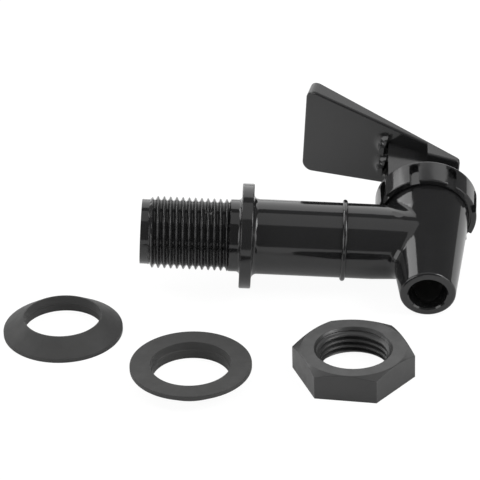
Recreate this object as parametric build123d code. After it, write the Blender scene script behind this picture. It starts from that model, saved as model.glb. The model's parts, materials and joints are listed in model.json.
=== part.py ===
from build123d import *
import math
import os

# A push-lever tap for a beverage dispenser, lying on its side with its two bevel washers and jam nut taken off.
# The tap is drawn in its own axes: X along the shank towards the spout, Z up in use, origin on the shank's axis
# at the flange's seat face. All lengths are in millimetres and all angles in degrees.

# Shank and flange
thread_diameter = 20.955
thread_length = 23.6
pilot_diameter = 18.8
pilot_length = 2.2
neck_length = 3.1
neck_fillet = 1.0
flange_diameter = 30.5
flange_thickness = 3.45
flange_fillet = 1.6
inlet_diameter = 12.0
inlet_depth = 50.0
inlet_chamfer = 0.6
waterway_diameter = 11.0

# Tube and spout
tube_diameter = 21.8
tube_taper_lead = 3.0
tube_end_inset = 0.7
bead_distance = 29.9
bead_diameter = 23.7
bead_width = 1.5
spout_reach = 54.1
mouth_drop = 21.8
mouth_diameter = 15.9
outlet_diameter = 11.0
lip_chamfer = 0.4
lip_round = 0.8
spout_top_diameter = 25.2
junction_fillet = 2.7
chamber_diameter = 15.6
seat_drop = 7.5
gate_mark_distance = 45.1
gate_mark_height = 0.9
gate_mark_diameter = 3.6
gate_mark_depth = 0.35

# Bonnet
bonnet_diameter = 30.0
bonnet_draft = 0.35
bonnet_clearance = 0.5
bonnet_height = 8.2
bonnet_top_thickness = 2.1
bonnet_top_round = 0.6
collar_diameter = 26.0
collar_recess = 0.5
notch_count = 8
notch_width = 2.8
notch_depth = 1.2
notch_land = 1.1
notch_turn = 18.0

# Seat cup, stem and spring
cup_ring_height = 0.6
cup_plug_diameter = 14.0
cup_plug_height = 3.6
cup_waist_diameter = 11.4
cup_height = 16.4
cup_lip_height = 2.0
cup_bore_diameter = 8.8
cup_floor_thickness = 5.2
stem_diameter = 4.5
foot_diameter = 6.4
foot_thickness = 1.6
foot_drop = 1.6
head_width = 7.0
head_thickness = 5.0
head_gap = 0.5
spring_wire = 0.9
spring_mean_diameter = 7.0
spring_half_turns = 11
spring_wire_sides = 8

# Lever, with its heights above the bonnet's top and its distances from the stem's axis
pin_diameter = 3.0
pin_height = 5.0
pin_recess = 0.1
slot_width = 5.6
hub_width = 10.4
hub_back = 11.4
hub_front = 8.6
hub_cam_radius = 3.0
hub_front_radius = 4.0
lever_tip_distance = 36.4
lever_front_distance = 9.7
lever_tip_width = 31.8
lever_front_width = 14.2
lever_tip_top = 34.7
lever_tip_thickness = 5.2
lever_tip_lean = 1.3
lever_front_top = 10.7
lever_front_thickness = 1.4
lever_step_top = 14.7
lever_step_bottom = 10.3
lever_tip_corner = 2.8
lever_front_corner = 1.2
lever_lap = 1.5
lever_edge_round = 0.6
buttress_radius = 3.6
buttress_core = 1.5

# Jam nut and bevel washers, and where they lie from the origin
nut_across_flats = 30.0
nut_height = 8.1
nut_face_diameter = 29.4
nut_chamfer_angle = 25.0
nut_countersink_diameter = 22.1
nut_place = (32.25, -49.9)
nut_turn = -9.0
washer_diameter = 34.1
washer_hole_diameter = 21.8
washer_height = 5.2
washer_rim = 1.3
washer_land = 0.4
washer_step = 0.35
washer_step_depth = 2.3
outer_washer_place = (-50.5, -26.95)
inner_washer_place = (-13.0, -52.9)

# Rounding and clearances
edge_round = 0.4
running_fit = 0.05
seat_gap = 0.1
overshoot = 1.0

# Heights and places that follow from the values above
bonnet_rim_height = tube_diameter / 2 + bonnet_clearance
collar_bottom = bonnet_rim_height + collar_recess
spout_slope = (spout_top_diameter - mouth_diameter) / 2 / (mouth_drop + collar_bottom)
spout_radius = mouth_diameter / 2 + mouth_drop * spout_slope
bonnet_top = bonnet_rim_height + bonnet_height
bonnet_ceiling = bonnet_top - bonnet_top_thickness
shank_end = -(neck_length + thread_length + pilot_length)
pin_z = bonnet_top + pin_height
cup_bottom = -seat_drop
cup_floor = cup_bottom + cup_floor_thickness
bonnet_rim_radius = bonnet_diameter / 2 - bonnet_draft
spout_axis = Axis((spout_reach, 0, 0), (0, 0, 1))
pin_axis = Axis((spout_reach, 0, pin_z), (0, 1, 0))


def turned(outline, axis, rounds=()):
    """A solid of revolution from an outline of (x, z) points, with some of its corners rounded."""
    face = make_face(Polyline(*[(x, 0, z) for x, z in outline], close=True)).face()
    for corner, radius in rounds:
        nearest = face.vertices().sort_by_distance((corner[0], 0, corner[1]))[0]
        face = face.fillet_2d(radius, [nearest])
    return revolve(face, axis=axis)


def about_spout(outline, rounds=()):
    """A solid turned about the spout's axis from (radius, height) points."""
    moved = [(spout_reach + r, z) for r, z in outline]
    return turned(moved, spout_axis, [((spout_reach + r, z), radius) for (r, z), radius in rounds])


def rod_along(axis, diameter, length):
    """A cylinder centred on an axis' position."""
    return Plane(axis.position, z_dir=axis.direction) * Cylinder(diameter / 2, length)


def shank_and_tube():
    """The solid outside of the shank, flange and tube, turned about the shank's axis."""
    thread_start = -(neck_length + thread_length)
    taper_start = spout_reach - spout_top_diameter / 2 - tube_taper_lead
    seat_corner = (0, thread_diameter / 2)
    rims = [(0, flange_diameter / 2), (flange_thickness, flange_diameter / 2)]
    outer_corner = (flange_thickness, tube_diameter / 2)
    outline = [
        (shank_end, 0),
        (shank_end, pilot_diameter / 2),
        (thread_start, pilot_diameter / 2),
        (thread_start + (thread_diameter - pilot_diameter) / 2, thread_diameter / 2),
        seat_corner,
        *rims,
        outer_corner,
        (taper_start, tube_diameter / 2),
        (spout_reach, spout_radius - tube_end_inset),
        (spout_reach, 0),
    ]
    rounds = [(rim, edge_round) for rim in rims]
    rounds += [(seat_corner, neck_fillet), (outer_corner, flange_fillet)]
    return turned(outline, Axis.X, rounds)


def bead():
    """The half-round ring on the tube."""
    centre, root = (bead_diameter - bead_width) / 2, tube_diameter / 2 - edge_round
    foot = Pos(bead_distance, (root + centre) / 2) * Rectangle(bead_width, centre - root)
    section = foot + Pos(bead_distance, centre) * Circle(bead_width / 2)
    return revolve(Plane.XZ * section, Axis.X)


def spout():
    """The solid outside of the spout, with the collar that the bonnet screws onto."""
    lip = (mouth_diameter / 2, -mouth_drop)
    outline = [
        (0, -mouth_drop),
        lip,
        (spout_top_diameter / 2, collar_bottom),
        (collar_diameter / 2, collar_bottom),
        (collar_diameter / 2, bonnet_ceiling),
        (0, bonnet_ceiling),
    ]
    return about_spout(outline, [(lip, lip_round)])


def faucet_body():
    """One moulding: shank, flange, tube and spout, with its waterway, valve chamber and outlet."""
    tube, drop = shank_and_tube(), spout()
    body = tube + drop
    body = fillet(new_edges(tube, drop, combined=body), junction_fillet)
    body += bead()
    waterway = turned(
        [
            (shank_end - overshoot, 0),
            (shank_end - overshoot, inlet_diameter / 2 + inlet_chamfer + overshoot),
            (shank_end + inlet_chamfer, inlet_diameter / 2),
            (shank_end + inlet_depth, inlet_diameter / 2),
            (shank_end + inlet_depth, waterway_diameter / 2),
            (spout_reach, waterway_diameter / 2),
            (spout_reach, 0),
        ],
        Axis.X,
    )
    bore = about_spout(
        [
            (0, -mouth_drop - overshoot),
            (outlet_diameter / 2 + lip_chamfer + overshoot, -mouth_drop - overshoot),
            (outlet_diameter / 2, -mouth_drop + lip_chamfer),
            (outlet_diameter / 2, -seat_drop),
            (chamber_diameter / 2, -seat_drop),
            (chamber_diameter / 2, bonnet_ceiling + overshoot),
            (0, bonnet_ceiling + overshoot),
        ]
    )
    mark_floor = tube_diameter / 2 - gate_mark_depth
    mark_place = Axis((gate_mark_distance, -mark_floor - overshoot, gate_mark_height), (0, 1, 0))
    return body - waterway - bore - rod_along(mark_place, gate_mark_diameter, 2 * overshoot)


def bonnet():
    """The ring that screws onto the spout's collar, with wrench notches round its skirt."""
    bore = collar_diameter / 2 + running_fit
    hole = stem_diameter / 2 + running_fit
    outline = [
        (hole, bonnet_ceiling),
        (bore, bonnet_ceiling),
        (bore, bonnet_rim_height),
        (bonnet_rim_radius, bonnet_rim_height),
        (bonnet_diameter / 2, bonnet_top),
        (hole, bonnet_top),
    ]
    ring = about_spout(outline, [(outline[3], edge_round), (outline[4], bonnet_top_round)])
    notch_head = bonnet_top - notch_land - notch_width / 2
    floor = bonnet_rim_radius - notch_depth
    straight = notch_head - bonnet_rim_height + overshoot
    for index in range(notch_count):
        angle = math.radians(-notch_turn - index * 360 / notch_count)
        outwards = Vector(math.cos(angle), math.sin(angle), 0)
        sideways = Vector(-math.sin(angle), math.cos(angle), 0)
        start = Vector(spout_reach, 0, notch_head) + outwards * floor
        plane = Plane(start, x_dir=sideways, z_dir=outwards)
        shape = Circle(notch_width / 2) + Pos(0, -straight / 2) * Rectangle(notch_width, straight)
        ring -= extrude(plane * shape, notch_depth + bonnet_draft + overshoot)
    return ring


def foot_hollow(clearance):
    """The outline of the stem's foot and shank, widened by a clearance, up to the cup's floor."""
    foot_bottom = cup_floor - foot_drop - foot_thickness - clearance
    foot_top = cup_floor - foot_drop + clearance
    wide, thin = foot_diameter / 2 + clearance, stem_diameter / 2 + clearance
    return [(0, foot_bottom), (wide, foot_bottom), (wide, foot_top), (thin, foot_top)]


def seat_cup():
    """The silicone cup whose plug closes the seat and whose lip wipes the chamber's wall."""
    lip = chamber_diameter / 2 - running_fit
    waist_start = cup_bottom + cup_plug_height
    top = cup_bottom + cup_height
    flare = lip - cup_waist_diameter / 2
    thin = stem_diameter / 2 + seat_gap
    outline = [
        (0, cup_bottom + cup_ring_height),
        (outlet_diameter / 2 + seat_gap, cup_bottom + cup_ring_height),
        (outlet_diameter / 2 + seat_gap, cup_bottom),
        (cup_plug_diameter / 2, cup_bottom),
        (cup_plug_diameter / 2, waist_start),
        (cup_waist_diameter / 2, waist_start + (cup_plug_diameter - cup_waist_diameter) / 2),
        (cup_waist_diameter / 2, top - cup_lip_height - flare),
        (lip, top - cup_lip_height),
        (lip, top),
        (cup_bore_diameter / 2, top),
        (cup_bore_diameter / 2, cup_floor),
        (thin, cup_floor),
        *reversed(foot_hollow(seat_gap)),
    ]
    return about_spout(outline)


def stem():
    """The lifting stem: a foot held in the cup, a round shank and a flat head on the lever's pin."""
    shoulder = bonnet_top + head_gap
    head_radius = head_width / 2
    shank = about_spout([*foot_hollow(0), (stem_diameter / 2, pin_z), (0, pin_z)])
    head_plane = Plane((spout_reach, 0, pin_z), x_dir=(1, 0, 0), z_dir=(0, -1, 0))
    drop = pin_z - shoulder
    shape = Circle(head_radius) + Pos(0, -drop / 2) * Rectangle(head_width, drop)
    head = extrude(head_plane * shape, head_thickness / 2, both=True)
    return shank + head - rod_along(pin_axis, pin_diameter, head_thickness + overshoot)


def spring():
    """The coil spring from the cup to the bonnet, as half rings of flat-sided wire leaning to and fro."""
    bottom, top = cup_floor + spring_wire / 2, bonnet_ceiling - spring_wire / 2
    rise = (top - bottom) / spring_half_turns
    lean = math.degrees(math.atan2(rise, spring_mean_diameter))
    wire = RegularPolygon(spring_wire / 2, spring_wire_sides)
    ring = Plane.XZ * Pos(math.hypot(spring_mean_diameter, rise) / 2, 0) * wire
    half = revolve(ring, Axis.Z, 180)
    coil = Part()
    for i in range(spring_half_turns):
        middle = Pos(spout_reach, 0, bottom + (i + 0.5) * rise)
        coil += middle * Rot(0, 0, 180 * i) * Rot(0, lean, 0) * half
    return coil


def lever_side(outline, width):
    """A plate of a given width across the tap, from (distance from the stem, height over the bonnet) points."""
    points = [(spout_reach + x, 0, bonnet_top + z) for x, z in outline]
    return extrude(make_face(Polyline(*points, close=True)), width / 2, dir=(0, 1, 0), both=True)


def half_width(x):
    """Half the paddle's width, at a distance from the stem's axis."""
    grow = (lever_tip_width - lever_front_width) / (lever_front_distance + lever_tip_distance)
    return lever_front_width / 2 + (lever_front_distance - x) * grow / 2


def top_height(x):
    """The height of the paddle's top over the bonnet, at a distance from the stem's axis."""
    start = lever_tip_lean - lever_tip_distance
    return lever_tip_top - (lever_tip_top - lever_front_top) * (x - start) / (lever_front_distance - start)


def soft_plate(outline, end, corner_radius):
    """A plate of the paddle, tapered to its outline from above, with rounded corners and lower edges."""
    low, high = -lever_tip_distance - overshoot, lever_front_distance + overshoot
    taper = [(x, side * half_width(x)) for x, side in ((low, -1), (high, -1), (high, 1), (low, 1))]
    fan = make_face(Polyline(*[(spout_reach + x, y) for x, y in taper], close=True))
    plate = lever_side(outline, lever_tip_width + 2 * overshoot) & extrude(fan, pin_z + lever_tip_top)
    for side in (-1, 1):
        corner = (spout_reach + end[0], side * half_width(end[0]), bonnet_top + end[1])
        plate = fillet(plate.edges().sort_by_distance(corner)[0], corner_radius)
    underside = plate.faces().filter_by(lambda face: face.normal_at().Z < 0).sort_by(SortBy.AREA)[-1]
    inner = underside.edges().sort_by_distance((spout_reach, 0, bonnet_top + lever_step_bottom))[0]
    return fillet([edge for edge in underside.edges() if edge != inner], lever_edge_round)


def paddle():
    """The thumb plate: thick at its tip, thin over the hub, and deeper again in front of the stem."""
    tip, front = -lever_tip_distance, lever_front_distance
    front_bottom = lever_front_top - lever_front_thickness
    rear = soft_plate(
        [
            (tip + lever_tip_lean, lever_tip_top),
            (lever_lap, top_height(lever_lap)),
            (lever_lap, underside_height(lever_lap)),
            (tip, underside_height(tip)),
        ],
        (tip + lever_tip_lean / 2, (lever_tip_top + underside_height(tip)) / 2),
        lever_tip_corner,
    )
    nose = soft_plate(
        [
            (0, top_height(0)),
            (front, lever_front_top),
            (front, front_bottom),
            (0, lever_step_bottom),
        ],
        (front, (lever_front_top + front_bottom) / 2),
        lever_front_corner,
    )
    return rear + nose


def underside_height(x):
    """The height of the paddle's underside over the bonnet, at a distance from the stem's axis."""
    tip_bottom = lever_tip_top - lever_tip_thickness
    return lever_step_top - (tip_bottom - lever_step_top) * x / lever_tip_distance


def cheeks():
    """The two plates of the hub, rounded at the back where they roll on the bonnet."""
    back, front = -hub_back, hub_front
    outline = [
        (back, seat_gap),
        (front, seat_gap),
        (front, lever_front_top - lever_front_thickness),
        (0, lever_step_bottom),
        (0, lever_step_top),
        (back, underside_height(back)),
    ]
    face = make_face(Polyline(*[(spout_reach + x, 0, bonnet_top + z) for x, z in outline], close=True)).face()
    for (x, z), radius in zip(outline[:2], (hub_cam_radius, hub_front_radius)):
        corner = (spout_reach + x, 0, bonnet_top + z)
        face = face.fillet_2d(radius, [face.vertices().sort_by_distance(corner)[0]])
    block = extrude(face, hub_width / 2, dir=(0, 1, 0), both=True)
    slot = Box(front - back + 2 * overshoot, slot_width, 2 * underside_height(back))
    return block - Pos(spout_reach + (front + back) / 2, 0, bonnet_top) * slot


def buttresses():
    """The flared feet where the backs of the two cheeks run out into the paddle's underside."""
    rise = underside_height(-lever_tip_distance) - lever_step_top
    slope = Vector(lever_tip_distance, 0, -rise).normalized()
    down = Vector(slope.Z, 0, -slope.X)
    reach, depth = buttress_core + buttress_radius, buttress_radius
    hollow = reach - buttress_radius / math.sqrt(2), 0, depth - buttress_radius / math.sqrt(2)
    feet = []
    for side in (-1, 1):
        y = side * (slot_width + hub_width) / 4
        place = Vector(spout_reach - hub_back, y, bonnet_top + underside_height(-hub_back))
        flare = make_face(
            [
                Line((0, 0, 0), (reach, 0, 0)),
                ThreePointArc((reach, 0, 0), hollow, (buttress_core, 0, depth)),
                Line((buttress_core, 0, depth), (0, 0, depth)),
                Line((0, 0, depth), (0, 0, 0)),
            ]
        )
        trumpet = revolve(flare, axis=Axis.Z)
        behind = Pos(-reach, 0, depth / 2) * Box(2 * reach, 2 * reach, depth)
        feet.append(Plane(place, x_dir=slope, z_dir=down) * (trumpet & behind))
    return feet


def lever():
    """The thumb lever: paddle, forked hub and the pin's holes."""
    solid = paddle()
    solid = solid + cheeks()
    for foot in buttresses():
        solid = solid + foot
    return solid - rod_along(pin_axis, pin_diameter + 2 * running_fit, hub_width + overshoot)


def lever_pin():
    """The cross pin, fixed in the stem's head and turning in the lever's cheeks."""
    return rod_along(pin_axis, pin_diameter, hub_width - 2 * pin_recess)


def jam_nut():
    """The hexagonal nut, chamfered on its upper face. Its bore follows the shank's thread."""
    prism = extrude(RegularPolygon(nut_across_flats / 2, 6, major_radius=False), nut_height)
    slope = math.tan(math.radians(nut_chamfer_angle))
    corner = nut_across_flats
    crown = turned(
        [
            (0, 0),
            (corner, 0),
            (corner, nut_height - (corner - nut_face_diameter / 2) * slope),
            (nut_face_diameter / 2, nut_height),
            (0, nut_height),
        ],
        Axis.Z,
    )
    bore = thread_diameter / 2 + running_fit
    sink = nut_countersink_diameter / 2 - bore
    hole = turned(
        [
            (0, -overshoot),
            (bore, -overshoot),
            (bore, nut_height - sink),
            (bore + sink + overshoot, nut_height + overshoot),
            (0, nut_height + overshoot),
        ],
        Axis.Z,
    )
    return (prism & crown) - hole


def bevel_washer():
    """A rubber washer, flat on one face and conical on the other, with a step inside its hole."""
    hole, rim = washer_hole_diameter / 2, washer_diameter / 2
    outline = [
        (hole + washer_step, 0),
        (rim, 0),
        (rim, washer_rim),
        (hole + washer_land, washer_height),
        (hole, washer_height),
        (hole, washer_step_depth + washer_step),
        (hole + washer_step, washer_step_depth),
    ]
    return turned(outline, Axis.Z)


def rest():
    """The turn that lays the tap on its flange, mouth and bonnet, and the height of the shank's axis there."""
    mouth_radius, bonnet_radius = mouth_diameter / 2 - lip_round, bonnet_rim_radius - edge_round
    flange_radius = flange_diameter / 2 - edge_round
    bonnet_z, mouth_z = bonnet_rim_height + edge_round, lip_round - mouth_drop
    widening, distance = bonnet_radius - mouth_radius, bonnet_z - mouth_z
    apart = math.hypot(widening, distance)
    lean = math.atan2(widening, distance) - math.asin((lip_round - edge_round) / apart)
    level = bonnet_z * math.sin(lean) - bonnet_radius * math.cos(lean)
    run = flange_thickness - edge_round - spout_reach
    pitch = math.atan2(flange_radius, run) - math.pi - math.asin(level / math.hypot(run, flange_radius))
    up = Vector(math.sin(pitch), -math.sqrt(math.cos(pitch) ** 2 - math.sin(lean) ** 2), math.sin(lean))
    along = (Vector(1, 0, 0) - up * up.X).normalized()
    height = edge_round - spout_reach * up.X - level
    return Plane((0, 0, 0), x_dir=along, z_dir=up).location.inverse(), height


def main():
    turn, height = rest()
    tap = {
        "faucet_body": faucet_body(),
        "bonnet": bonnet(),
        "seat_cup": seat_cup(),
        "stem": stem(),
        "spring": spring(),
        "lever": lever(),
        "lever_pin": lever_pin(),
    }
    pieces = {name: turn * solid for name, solid in tap.items()}
    flat_up = Pos(*inner_washer_place, washer_height - height) * Rot(180, 0, 0)
    pieces["jam_nut"] = Pos(*nut_place, -height) * Rot(0, 0, nut_turn) * jam_nut()
    pieces["outer_washer"] = Pos(*outer_washer_place, -height) * bevel_washer()
    pieces["inner_washer"] = flat_up * bevel_washer()
    os.makedirs("parts", exist_ok=True)
    for name, solid in pieces.items():
        export_step(solid, f"parts/{name}.step")


main()
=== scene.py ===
import json
import math

import bmesh
import bpy
from mathutils import Matrix, Vector


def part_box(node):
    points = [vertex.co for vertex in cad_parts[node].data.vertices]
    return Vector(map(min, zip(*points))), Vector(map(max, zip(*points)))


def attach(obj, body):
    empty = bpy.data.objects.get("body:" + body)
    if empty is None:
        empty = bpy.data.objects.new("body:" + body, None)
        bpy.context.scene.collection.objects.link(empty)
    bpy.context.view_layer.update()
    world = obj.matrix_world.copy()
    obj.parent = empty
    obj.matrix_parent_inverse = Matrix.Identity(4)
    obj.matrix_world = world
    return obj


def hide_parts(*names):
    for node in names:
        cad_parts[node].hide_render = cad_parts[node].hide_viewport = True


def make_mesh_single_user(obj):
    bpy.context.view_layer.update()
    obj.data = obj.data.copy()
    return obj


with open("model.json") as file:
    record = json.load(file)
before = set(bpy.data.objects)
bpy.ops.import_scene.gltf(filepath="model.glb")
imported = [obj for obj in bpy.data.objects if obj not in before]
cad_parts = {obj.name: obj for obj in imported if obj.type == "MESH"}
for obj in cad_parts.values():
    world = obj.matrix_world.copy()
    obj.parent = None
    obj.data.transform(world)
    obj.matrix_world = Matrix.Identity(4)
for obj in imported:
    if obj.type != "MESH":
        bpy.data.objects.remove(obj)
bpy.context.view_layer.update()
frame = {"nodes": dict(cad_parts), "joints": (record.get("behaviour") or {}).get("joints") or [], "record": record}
nodes = frame["nodes"]
record = frame["record"]
scene = bpy.context.scene

# A millimetre in metres, the layer that keeps the CAD normals, and mesh tolerances in millimetres
MM = 0.001
SHADING = "cad_normal"
MERGE_DISTANCE = 1e-4
DEGENERATE_LENGTH = 1e-5
CUT_DISTANCE = 1e-4

# The tap's own axes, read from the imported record: along the shank to the spout, across, and up the spout.
mounts = {mount["name"]: mount for mount in record["mounts"]}
joints = {joint["name"]: joint for joint in frame["joints"]}
along = -Vector(mounts["shank_thread"]["axis"]).normalized()
up = Vector(joints["stem_swivel"]["axis"]).normalized()
across = up.cross(along)
tap_place = Matrix((along, across, up)).transposed().to_4x4() @ Matrix.Scale(MM, 4)
table_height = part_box("outer_washer")[0].z

# Half-inch pipe thread, in millimetres; the crest's share is of one pitch
THREAD_PITCH = 1.814
THREAD_DEPTH = 1.12
CREST_SHARE = 0.28
CREST_ROUND = 0.2
CREST_STEPS = 5
ROOT_STEPS = 9
STEPS_PER_TURN = 120
THREAD_START, THREAD_END = -26.7, -3.1
PILOT_RADIUS = 9.4
PILOT_MARGIN = 0.2
NECK_REACH = 3.0
RUNOUT_SLOPE = 1.6
SPARE_TURNS = 2
WELD_DISTANCE = 1e-3
RIM_FLATNESS = 2e-3
RIM_REACH = 1.5
BORE_TOLERANCE = 0.01

# The nick in the shank's thread: place along the shank, the way it faces in the row's axes, and its shape
NICK_PLACE = -8.6
NICK_DIRECTION = (0, -0.275, 0.958)
NICK_REACH = 1.9
NICK_DEPTH = 1.1
NICK_EVEN, NICK_UNEVEN = 0.6, 0.4
NICK_WAVES = 5.0

# Mould rounding of the pieces' edges: widths in millimetres, angles in degrees
NUT_EDGE = 0.15
WASHER_EDGE = 0.2
BONNET_EDGE = 0.2
ROUNDED_ANGLE, NUT_ROUNDED_ANGLE = 30.0, 12.0
FLAT_ANGLE = 0.5
ROUND_SEGMENTS = 3

# Shading: the angles in degrees from which an edge stays sharp, and the weight of a face's area
SHARP_ANGLE, NUT_SHARP_ANGLE = 32.0, 20.0
AREA_WEIGHT = 100


def own_mesh(node, place):
    """A merged copy of a CAD node's mesh in a piece's own millimetres, with its normals in a layer."""
    bm = bmesh.new()
    source = nodes[node].data
    bm.from_mesh(source)
    bm.faces.ensure_lookup_table()
    shading = bm.loops.layers.float_vector.new(SHADING)
    for face in bm.faces:
        for loop in face.loops:
            loop[shading] = source.corner_normals[loop.index].vector
    bmesh.ops.transform(bm, matrix=place.inverted(), verts=bm.verts)
    bmesh.ops.remove_doubles(bm, verts=bm.verts, dist=MERGE_DISTANCE)
    bmesh.ops.dissolve_degenerate(bm, edges=bm.edges, dist=DEGENERATE_LENGTH)
    return bm


def finish_piece(name, bm, place, body, replaced, sharp=SHARP_ANGLE, cad_shading=False):
    """The finished mesh as an object at the origin, riding on its body in the CAD node's place.

    It is shaded by the CAD node's normals, or by normals that the larger faces settle.
    """
    bmesh.ops.transform(bm, matrix=place, verts=bm.verts)
    shading = bm.loops.layers.float_vector[SHADING]
    normals = [loop[shading].copy() for face in bm.faces for loop in face.loops]
    bm.loops.layers.float_vector.remove(shading)
    mesh = bpy.data.meshes.new(name)
    bm.to_mesh(mesh)
    bm.free()
    for polygon in mesh.polygons:
        polygon.use_smooth = True
    mesh.set_sharp_from_angle(angle=math.radians(sharp))
    piece = bpy.data.objects.new(name, mesh)
    scene.collection.objects.link(piece)
    if cad_shading:
        mesh.normals_split_custom_set(normals)
    else:
        weighted = piece.modifiers.new("shading", "WEIGHTED_NORMAL")
        weighted.mode = "FACE_AREA"
        weighted.weight = AREA_WEIGHT
        weighted.keep_sharp = True
    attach(piece, body)
    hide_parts(*replaced)
    return piece


def soften(bm, width, angle=ROUNDED_ANGLE):
    """Rounds the edges of a mesh that are sharper than an angle."""
    bmesh.ops.dissolve_limit(bm, angle_limit=math.radians(FLAT_ANGLE), verts=bm.verts, edges=bm.edges)
    limit = math.radians(angle)
    edges = [e for e in bm.edges if len(e.link_faces) == 2 and e.calc_face_angle() > limit]
    bmesh.ops.bevel(
        bm, geom=edges, offset=width, offset_type="OFFSET", segments=ROUND_SEGMENTS, profile=0.5,
        affect="EDGES", material=-1, clamp_overlap=True,
    )


def soft_copy(name, node, body, width):
    """A CAD node's shape with its sharp edges rounded as a mould leaves them."""
    place = Matrix.Scale(MM, 4)
    bm = own_mesh(node, place)
    soften(bm, width)
    return finish_piece(name, bm, place, body, [node])


def radius_of(point):
    """A point's distance from the X axis."""
    return math.hypot(point.y, point.z)


def set_radius(vert, radius):
    """Moves a vertex straight towards or away from the X axis."""
    scale = radius / radius_of(vert.co)
    vert.co.y *= scale
    vert.co.z *= scale


def thread_surface(start, end, crest, root):
    """A helical thread about the X axis: one pitch's profile spun round it, cut flat at both ends."""
    bm = bmesh.new()
    left = start - SPARE_TURNS * THREAD_PITCH
    inwards = math.copysign(1, root - crest)
    shoulder = crest + inwards * CREST_ROUND
    profile = []
    for k in range(CREST_STEPS):
        share = k / CREST_STEPS
        radius = shoulder - inwards * CREST_ROUND * math.sin(math.pi * share)
        profile.append((CREST_SHARE * share, radius))
    for k in range(ROOT_STEPS + 1):
        share = k / ROOT_STEPS
        radius = shoulder + (root - shoulder) * math.sin(math.pi * share)
        profile.append((CREST_SHARE + (1 - CREST_SHARE) * share, radius))
    verts = [bm.verts.new((left + THREAD_PITCH * x, 0, r)) for x, r in profile]
    edges = [bm.edges.new(pair) for pair in zip(verts, verts[1:])]
    turns = math.ceil((end - start) / THREAD_PITCH) + SPARE_TURNS + 1
    bmesh.ops.spin(
        bm, geom=verts + edges, cent=(0, 0, 0), axis=(1, 0, 0), dvec=(THREAD_PITCH / STEPS_PER_TURN, 0, 0),
        angle=math.tau * turns, steps=STEPS_PER_TURN * turns,
    )
    bmesh.ops.remove_doubles(bm, verts=bm.verts, dist=WELD_DISTANCE)
    for x, normal in ((start, (-1, 0, 0)), (end, (1, 0, 0))):
        geom = bm.verts[:] + bm.edges[:] + bm.faces[:]
        bmesh.ops.bisect_plane(
            bm, geom=geom, dist=CUT_DISTANCE, plane_co=(x, 0, 0), plane_no=normal, clear_outer=True,
        )
    return bm


def face_radially(bm, outwards):
    """Turns a tube's faces away from the X axis, or towards it."""
    bmesh.ops.recalc_face_normals(bm, faces=bm.faces)
    lean = 0.0
    for face in bm.faces:
        middle = face.calc_center_median()
        lean += face.normal.dot(Vector((0, middle.y, middle.z)).normalized()) * face.calc_area()
    if (lean > 0) != outwards:
        bmesh.ops.reverse_faces(bm, faces=bm.faces)


def rim_edges(bm, x, near):
    """The open edges of a mesh in a plane across the X axis, near a radius."""
    def on_rim(point):
        return abs(point.x - x) < RIM_FLATNESS and abs(radius_of(point) - near) < RIM_REACH

    return [edge for edge in bm.edges if edge.is_boundary and all(on_rim(vert.co) for vert in edge.verts)]


def add_thread(bm, thread, ends):
    """Joins a thread's mesh into a piece whose plain band has been taken out, and closes both seams."""
    held = bpy.data.meshes.new("thread_band")
    thread.to_mesh(held)
    thread.free()
    bm.from_mesh(held)
    bpy.data.meshes.remove(held)
    for x, radius in ends:
        edges = rim_edges(bm, x, radius)
        made = bmesh.ops.bridge_loops(bm, edges=edges)
        bmesh.ops.triangulate(bm, faces=made["faces"])


def tap_moulding():
    """The tap's body with its shank threaded."""
    bm = own_mesh("faucet_body", tap_place)
    crest = mounts["shank_thread"]["dims"]["r_mm"]
    root = crest - THREAD_DEPTH
    outside = PILOT_RADIUS - PILOT_MARGIN
    shank_end = THREAD_END + NECK_REACH
    band = [f for f in bm.faces if all(v.co.x < shank_end and radius_of(v.co) > outside for v in f.verts)]
    parts = list({e for f in band for e in f.edges}) + list({v for f in band for v in f.verts}) + band
    bmesh.ops.bisect_plane(
        bm, geom=parts, dist=CUT_DISTANCE, plane_co=(THREAD_END, 0, 0), plane_no=(1, 0, 0),
    )
    plain = []
    for face in bm.faces:
        middle = face.calc_center_median()
        if THREAD_START < middle.x < THREAD_END and min(radius_of(v.co) for v in face.verts) > outside:
            plain.append(face)
    bmesh.ops.delete(bm, geom=plain, context="FACES")
    thread = thread_surface(THREAD_START, THREAD_END, crest, root)
    nick = Vector(NICK_DIRECTION) @ tap_place.to_3x3().normalized() * crest + Vector((NICK_PLACE, 0, 0))
    for vert in thread.verts:
        nearness = max(0.0, 1 - (vert.co - nick).length / NICK_REACH)
        roughly = NICK_EVEN + NICK_UNEVEN * math.sin(NICK_WAVES * vert.co.y)
        set_radius(vert, radius_of(vert.co) - NICK_DEPTH * nearness * roughly)
        lead = PILOT_RADIUS + (vert.co.x - THREAD_START)
        runout = crest - RUNOUT_SLOPE * (THREAD_END - vert.co.x)
        set_radius(vert, max(min(radius_of(vert.co), lead), runout))
    face_radially(thread, True)
    add_thread(bm, thread, [(THREAD_START, PILOT_RADIUS), (THREAD_END, crest)])
    return finish_piece(
        "tap_moulding", bm, tap_place, "faucet", ["faucet_body"], cad_shading=True,
    )


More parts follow.
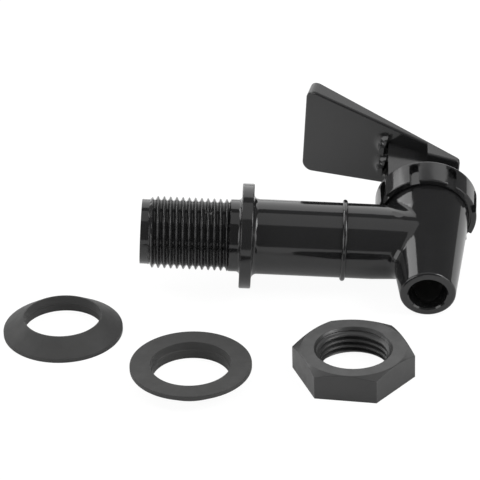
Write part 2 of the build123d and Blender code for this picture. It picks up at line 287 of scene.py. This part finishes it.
def nut_moulding():
    """The jam nut with its bore threaded."""
    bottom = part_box("jam_nut")[0].z
    centre = Vector(mounts["nut_thread"]["pos_m"])
    turned_up = Matrix.Rotation(-math.pi / 2, 4, "Y")
    place = Matrix.Translation((centre.x, centre.y, bottom)) @ turned_up @ Matrix.Scale(MM, 4)
    bm = own_mesh("jam_nut", place)
    soften(bm, NUT_EDGE, NUT_ROUNDED_ANGLE)
    bore = mounts["nut_thread"]["dims"]["r_mm"]
    top = mounts["nut_thread"]["dims"]["length_mm"]
    plain = [f for f in bm.faces if all(abs(radius_of(v.co) - bore) < BORE_TOLERANCE for v in f.verts)]
    bmesh.ops.delete(bm, geom=plain, context="FACES")
    thread = thread_surface(0, top, bore, bore - THREAD_DEPTH)
    for vert in thread.verts:
        nearest_end = min(vert.co.x, top - vert.co.x)
        set_radius(vert, max(radius_of(vert.co), bore - nearest_end))
    face_radially(thread, False)
    add_thread(bm, thread, [(0, bore), (top, bore)])
    return finish_piece("nut_moulding", bm, place, "faucet", ["jam_nut"], NUT_SHARP_ANGLE)


def coil_spring():
    """The spring, copied with the CAD node's shading to ride on the tap."""
    place = Matrix.Scale(MM, 4)
    bm = own_mesh("spring", place)
    piece = finish_piece("spring_wire", bm, place, "faucet", ["spring"], cad_shading=True)
    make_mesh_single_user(piece)
    return piece


# Finishes: noise scales in patches a metre, bump heights in metres

TONE_SCALE, TONE_DETAIL = 90, 3
GLOSS_SCALE, GLOSS_DETAIL, GLOSS_FINENESS = 260, 4, 0.6
GRAIN_DETAIL, GRAIN_FINENESS, GRAIN_STRENGTH = 3, 0.6, 0.5
RIPPLE_SCALE, RIPPLE_DETAIL, RIPPLE_STRENGTH = 70, 1, 0.6
STREAK_SCALE, STREAK_DETAIL, STREAK_STRENGTH, STREAK_HEIGHT = 900, 4, 0.3, 2e-5
NOISE_LOW, NOISE_HIGH = 0.3, 0.7


def new_material(name):
    """A node material with its shader and object coordinates."""
    material = bpy.data.materials.new(name)
    material.use_nodes = True
    tree = material.node_tree
    return material, tree, tree.nodes["Principled BSDF"], tree.nodes.new("ShaderNodeTexCoord")


def noise(tree, coords, scale, detail, roughness=0.5):
    """A noise on object coordinates."""
    node = tree.nodes.new("ShaderNodeTexNoise")
    node.inputs["Scale"].default_value = scale
    node.inputs["Detail"].default_value = detail
    node.inputs["Roughness"].default_value = roughness
    tree.links.new(coords.outputs["Object"], node.inputs["Vector"])
    return node


def spread(tree, source, low, high):
    """Maps a noise onto a range of values."""
    node = tree.nodes.new("ShaderNodeMapRange")
    node.inputs["From Min"].default_value = NOISE_LOW
    node.inputs["From Max"].default_value = NOISE_HIGH
    node.inputs["To Min"].default_value = low
    node.inputs["To Max"].default_value = high
    tree.links.new(source, node.inputs["Value"])
    return node.outputs["Result"]


def two_tone(tree, source, dark, light):
    """A colour that drifts between two tones."""
    node = tree.nodes.new("ShaderNodeMix")
    node.data_type = "RGBA"
    node.inputs["A"].default_value = (*dark, 1)
    node.inputs["B"].default_value = (*light, 1)
    tree.links.new(source, node.inputs["Factor"])
    return node.outputs["Result"]


def relief(tree, source, strength, height, below=None):
    """A bump from a noise, on top of another bump if there is one."""
    node = tree.nodes.new("ShaderNodeBump")
    node.inputs["Strength"].default_value = strength
    node.inputs["Distance"].default_value = height
    tree.links.new(source, node.inputs["Height"])
    if below is not None:
        tree.links.new(below, node.inputs["Normal"])
    return node.outputs["Normal"]


def moulded(name, dark, light, smooth, rough, grain_scale, grain_height, ripple_height, specular=0.5):
    """Moulded plastic or rubber: drifting tone, uneven gloss, fine grain and slow moulding ripple."""
    material, tree, shader, coords = new_material(name)
    tone = noise(tree, coords, TONE_SCALE, TONE_DETAIL)
    gloss = noise(tree, coords, GLOSS_SCALE, GLOSS_DETAIL, GLOSS_FINENESS)
    grain = noise(tree, coords, grain_scale, GRAIN_DETAIL, GRAIN_FINENESS)
    ripple = noise(tree, coords, RIPPLE_SCALE, RIPPLE_DETAIL)
    tree.links.new(two_tone(tree, tone.outputs["Fac"], dark, light), shader.inputs["Base Color"])
    tree.links.new(spread(tree, gloss.outputs["Fac"], smooth, rough), shader.inputs["Roughness"])
    bump = relief(tree, ripple.outputs["Fac"], RIPPLE_STRENGTH, ripple_height)
    bump = relief(tree, grain.outputs["Fac"], GRAIN_STRENGTH, grain_height, bump)
    tree.links.new(bump, shader.inputs["Normal"])
    shader.inputs["Specular IOR Level"].default_value = specular
    return material


def drawn_steel(name, colour, smooth, rough):
    """Bright drawn wire or pin stock."""
    material, tree, shader, coords = new_material(name)
    streak = noise(tree, coords, STREAK_SCALE, STREAK_DETAIL)
    tree.links.new(spread(tree, streak.outputs["Fac"], smooth, rough), shader.inputs["Roughness"])
    bump = relief(tree, streak.outputs["Fac"], STREAK_STRENGTH, STREAK_HEIGHT)
    tree.links.new(bump, shader.inputs["Normal"])
    shader.inputs["Base Color"].default_value = (*colour, 1)
    shader.inputs["Metallic"].default_value = 1.0
    return material


def paint(piece, material):
    """Gives a piece one finish all over."""
    piece.data.materials.clear()
    piece.data.materials.append(material)
    for polygon in piece.data.polygons:
        polygon.material_index = 0


gloss_black = moulded(
    "gloss_black", dark=(0.0095, 0.0095, 0.01), light=(0.0125, 0.0125, 0.0128), smooth=0.07, rough=0.12,
    grain_scale=2500, grain_height=3e-6, ripple_height=1e-5,
)
lever_black = moulded(
    "lever_black", dark=(0.014, 0.014, 0.0145), light=(0.018, 0.018, 0.0183), smooth=0.12, rough=0.18,
    grain_scale=3500, grain_height=4e-6, ripple_height=1e-5,
)
nut_black = moulded(
    "nut_black", dark=(0.018, 0.018, 0.018), light=(0.026, 0.026, 0.026), smooth=0.32, rough=0.45,
    grain_scale=3000, grain_height=1.2e-5, ripple_height=3e-5,
)
washer_rubber = moulded(
    "washer_rubber", dark=(0.031, 0.031, 0.031), light=(0.042, 0.042, 0.041), smooth=0.55, rough=0.7,
    grain_scale=4200, grain_height=2e-5, ripple_height=2e-5, specular=0.35,
)
stem_white = moulded(
    "stem_white", dark=(0.55, 0.55, 0.53), light=(0.62, 0.62, 0.6), smooth=0.3, rough=0.4,
    grain_scale=3000, grain_height=5e-6, ripple_height=2e-5,
)
silicone = moulded(
    "silicone", dark=(0.42, 0.42, 0.4), light=(0.5, 0.5, 0.48), smooth=0.45, rough=0.6,
    grain_scale=3000, grain_height=8e-6, ripple_height=2e-5,
)
bright_steel = drawn_steel("bright_steel", colour=(0.6, 0.6, 0.59), smooth=0.18, rough=0.3)

tap = tap_moulding()
nut = nut_moulding()
spring = coil_spring()
bonnet = soft_copy("bonnet_moulding", "bonnet", "faucet", BONNET_EDGE)
outer_washer = soft_copy("outer_washer_moulding", "outer_washer", "faucet", WASHER_EDGE)
inner_washer = soft_copy("inner_washer_moulding", "inner_washer", "faucet", WASHER_EDGE)
finishes = {
    tap: gloss_black,
    bonnet: gloss_black,
    nodes["lever"]: lever_black,
    nut: nut_black,
    outer_washer: washer_rubber,
    inner_washer: washer_rubber,
    nodes["stem"]: stem_white,
    nodes["seat_cup"]: silicone,
    spring: bright_steel,
    nodes["lever_pin"]: bright_steel,
}
for piece, material in finishes.items():
    paint(piece, material)


# Floor, light and camera: metres, apart from the camera's place and aim in millimetres

FLOOR_SIZE = 4.0
FLOOR_TONE = 0.88
FLOOR_WHITE = 1.05
WHITE_SHARES = {"Is Camera Ray": 0.9, "Is Glossy Ray": 0.3, "Is Transmission Ray": 0.9}
FILL = 0.2
LENS, SENSOR = 247.5, 36.0
CLIP_START, CLIP_END = 0.05, 20.0
CAMERA_PLACE = (29.25, -827.6, 480.7)
CAMERA_AIM = (-0.2, -0.64, -1.1)
CAMERA_ROLL = -1.58


def seen_white(tree):
    """The share of pure white in what a ray sees of the floor, which is none for the light on things."""
    path = tree.nodes.new("ShaderNodeLightPath")
    whiteness = None
    for ray, share in WHITE_SHARES.items():
        part = tree.nodes.new("ShaderNodeMath")
        part.operation = "MULTIPLY"
        part.inputs[1].default_value = share
        tree.links.new(path.outputs[ray], part.inputs[0])
        if whiteness is not None:
            either = tree.nodes.new("ShaderNodeMath")
            either.operation = "MAXIMUM"
            tree.links.new(whiteness, either.inputs[0])
            tree.links.new(part.outputs[0], either.inputs[1])
            part = either
        whiteness = part.outputs[0]
    return whiteness


def studio_floor():
    """A wide pale floor that looks white and keeps a soft shadow."""
    bm = bmesh.new()
    bmesh.ops.create_grid(bm, x_segments=1, y_segments=1, size=FLOOR_SIZE)
    bmesh.ops.translate(bm, vec=(0, 0, table_height), verts=bm.verts)
    mesh = bpy.data.meshes.new("floor")
    bm.to_mesh(mesh)
    bm.free()
    floor = bpy.data.objects.new("floor", mesh)
    scene.collection.objects.link(floor)
    material = bpy.data.materials.new("floor_white")
    material.use_nodes = True
    tree = material.node_tree
    tree.nodes.clear()
    pale = tree.nodes.new("ShaderNodeBsdfDiffuse")
    pale.inputs["Color"].default_value = (FLOOR_TONE, FLOOR_TONE, FLOOR_TONE, 1)
    white = tree.nodes.new("ShaderNodeEmission")
    white.inputs["Strength"].default_value = FLOOR_WHITE
    mix = tree.nodes.new("ShaderNodeMixShader")
    out = tree.nodes.new("ShaderNodeOutputMaterial")
    tree.links.new(seen_white(tree), mix.inputs[0])
    tree.links.new(pale.outputs[0], mix.inputs[1])
    tree.links.new(white.outputs[0], mix.inputs[2])
    tree.links.new(mix.outputs[0], out.inputs["Surface"])
    floor.data.materials.append(material)


def studio_world():
    """White to the camera, and a dim even fill for everything else."""
    world = bpy.data.worlds.new("studio")
    scene.world = world
    world.use_nodes = True
    tree = world.node_tree
    tree.nodes.clear()
    path = tree.nodes.new("ShaderNodeLightPath")
    fill = tree.nodes.new("ShaderNodeBackground")
    fill.inputs["Strength"].default_value = FILL
    white = tree.nodes.new("ShaderNodeBackground")
    mix = tree.nodes.new("ShaderNodeMixShader")
    out = tree.nodes.new("ShaderNodeOutputWorld")
    for node in (fill, white):
        node.inputs["Color"].default_value = (1, 1, 1, 1)
    tree.links.new(path.outputs["Is Camera Ray"], mix.inputs[0])
    tree.links.new(fill.outputs[0], mix.inputs[1])
    tree.links.new(white.outputs[0], mix.inputs[2])
    tree.links.new(mix.outputs[0], out.inputs["Surface"])


def soft_panel(name, place, aim, width, height, radiance):
    """A rectangular soft light, as bright as a white wall of the given radiance."""
    light = bpy.data.lights.new(name, "AREA")
    light.shape = "RECTANGLE"
    light.size, light.size_y = width, height
    light.energy = radiance * math.pi * width * height
    lamp = bpy.data.objects.new(name, light)
    lamp.location = place
    lamp.rotation_mode = "QUATERNION"
    lamp.rotation_quaternion = (Vector(aim) - Vector(place)).to_track_quat("-Z", "Y")
    scene.collection.objects.link(lamp)


def photo_camera():
    """The photograph's viewpoint: a long lens in front of the tap and about 30 degrees above it."""
    camera = bpy.data.cameras.new("camera")
    camera.lens = LENS
    camera.sensor_width = SENSOR
    camera.clip_start, camera.clip_end = CLIP_START, CLIP_END
    view = bpy.data.objects.new("camera", camera)
    view.location = Vector(CAMERA_PLACE) * MM
    view.rotation_mode = "QUATERNION"
    turn = (Vector(CAMERA_AIM) - Vector(CAMERA_PLACE)).to_track_quat("-Z", "Y").to_matrix()
    roll = Matrix.Rotation(math.radians(CAMERA_ROLL), 3, "Z")
    view.rotation_quaternion = (turn @ roll).to_quaternion()
    scene.collection.objects.link(view)
    scene.camera = view


studio_floor()
studio_world()
soft_panel("back_panel", (0, 0.85, 0.6), (0, 0, 0.45), width=1.5, height=1.1, radiance=1.4)
soft_panel("left_panel", (-0.85, 0.55, 0.7), (0, 0, 0), width=0.6, height=0.75, radiance=3.3)
soft_panel("left_front_panel", (-0.85, -0.5, 0.35), (0, 0, 0.05), width=0.9, height=0.6, radiance=2.4)
soft_panel("right_panel", (0.75, -0.2, 0.7), (0, 0, 0), width=0.5, height=0.5, radiance=6.5)
soft_panel("right_front_panel", (0.9, -0.45, 0.25), (0, 0, 0.05), width=0.8, height=0.4, radiance=2.4)
soft_panel("top_panel", (0, -0.05, 0.8), (0, -0.05, 0), width=2.0, height=0.6, radiance=0.75)
photo_camera()

scene.view_settings.view_transform = "Standard"
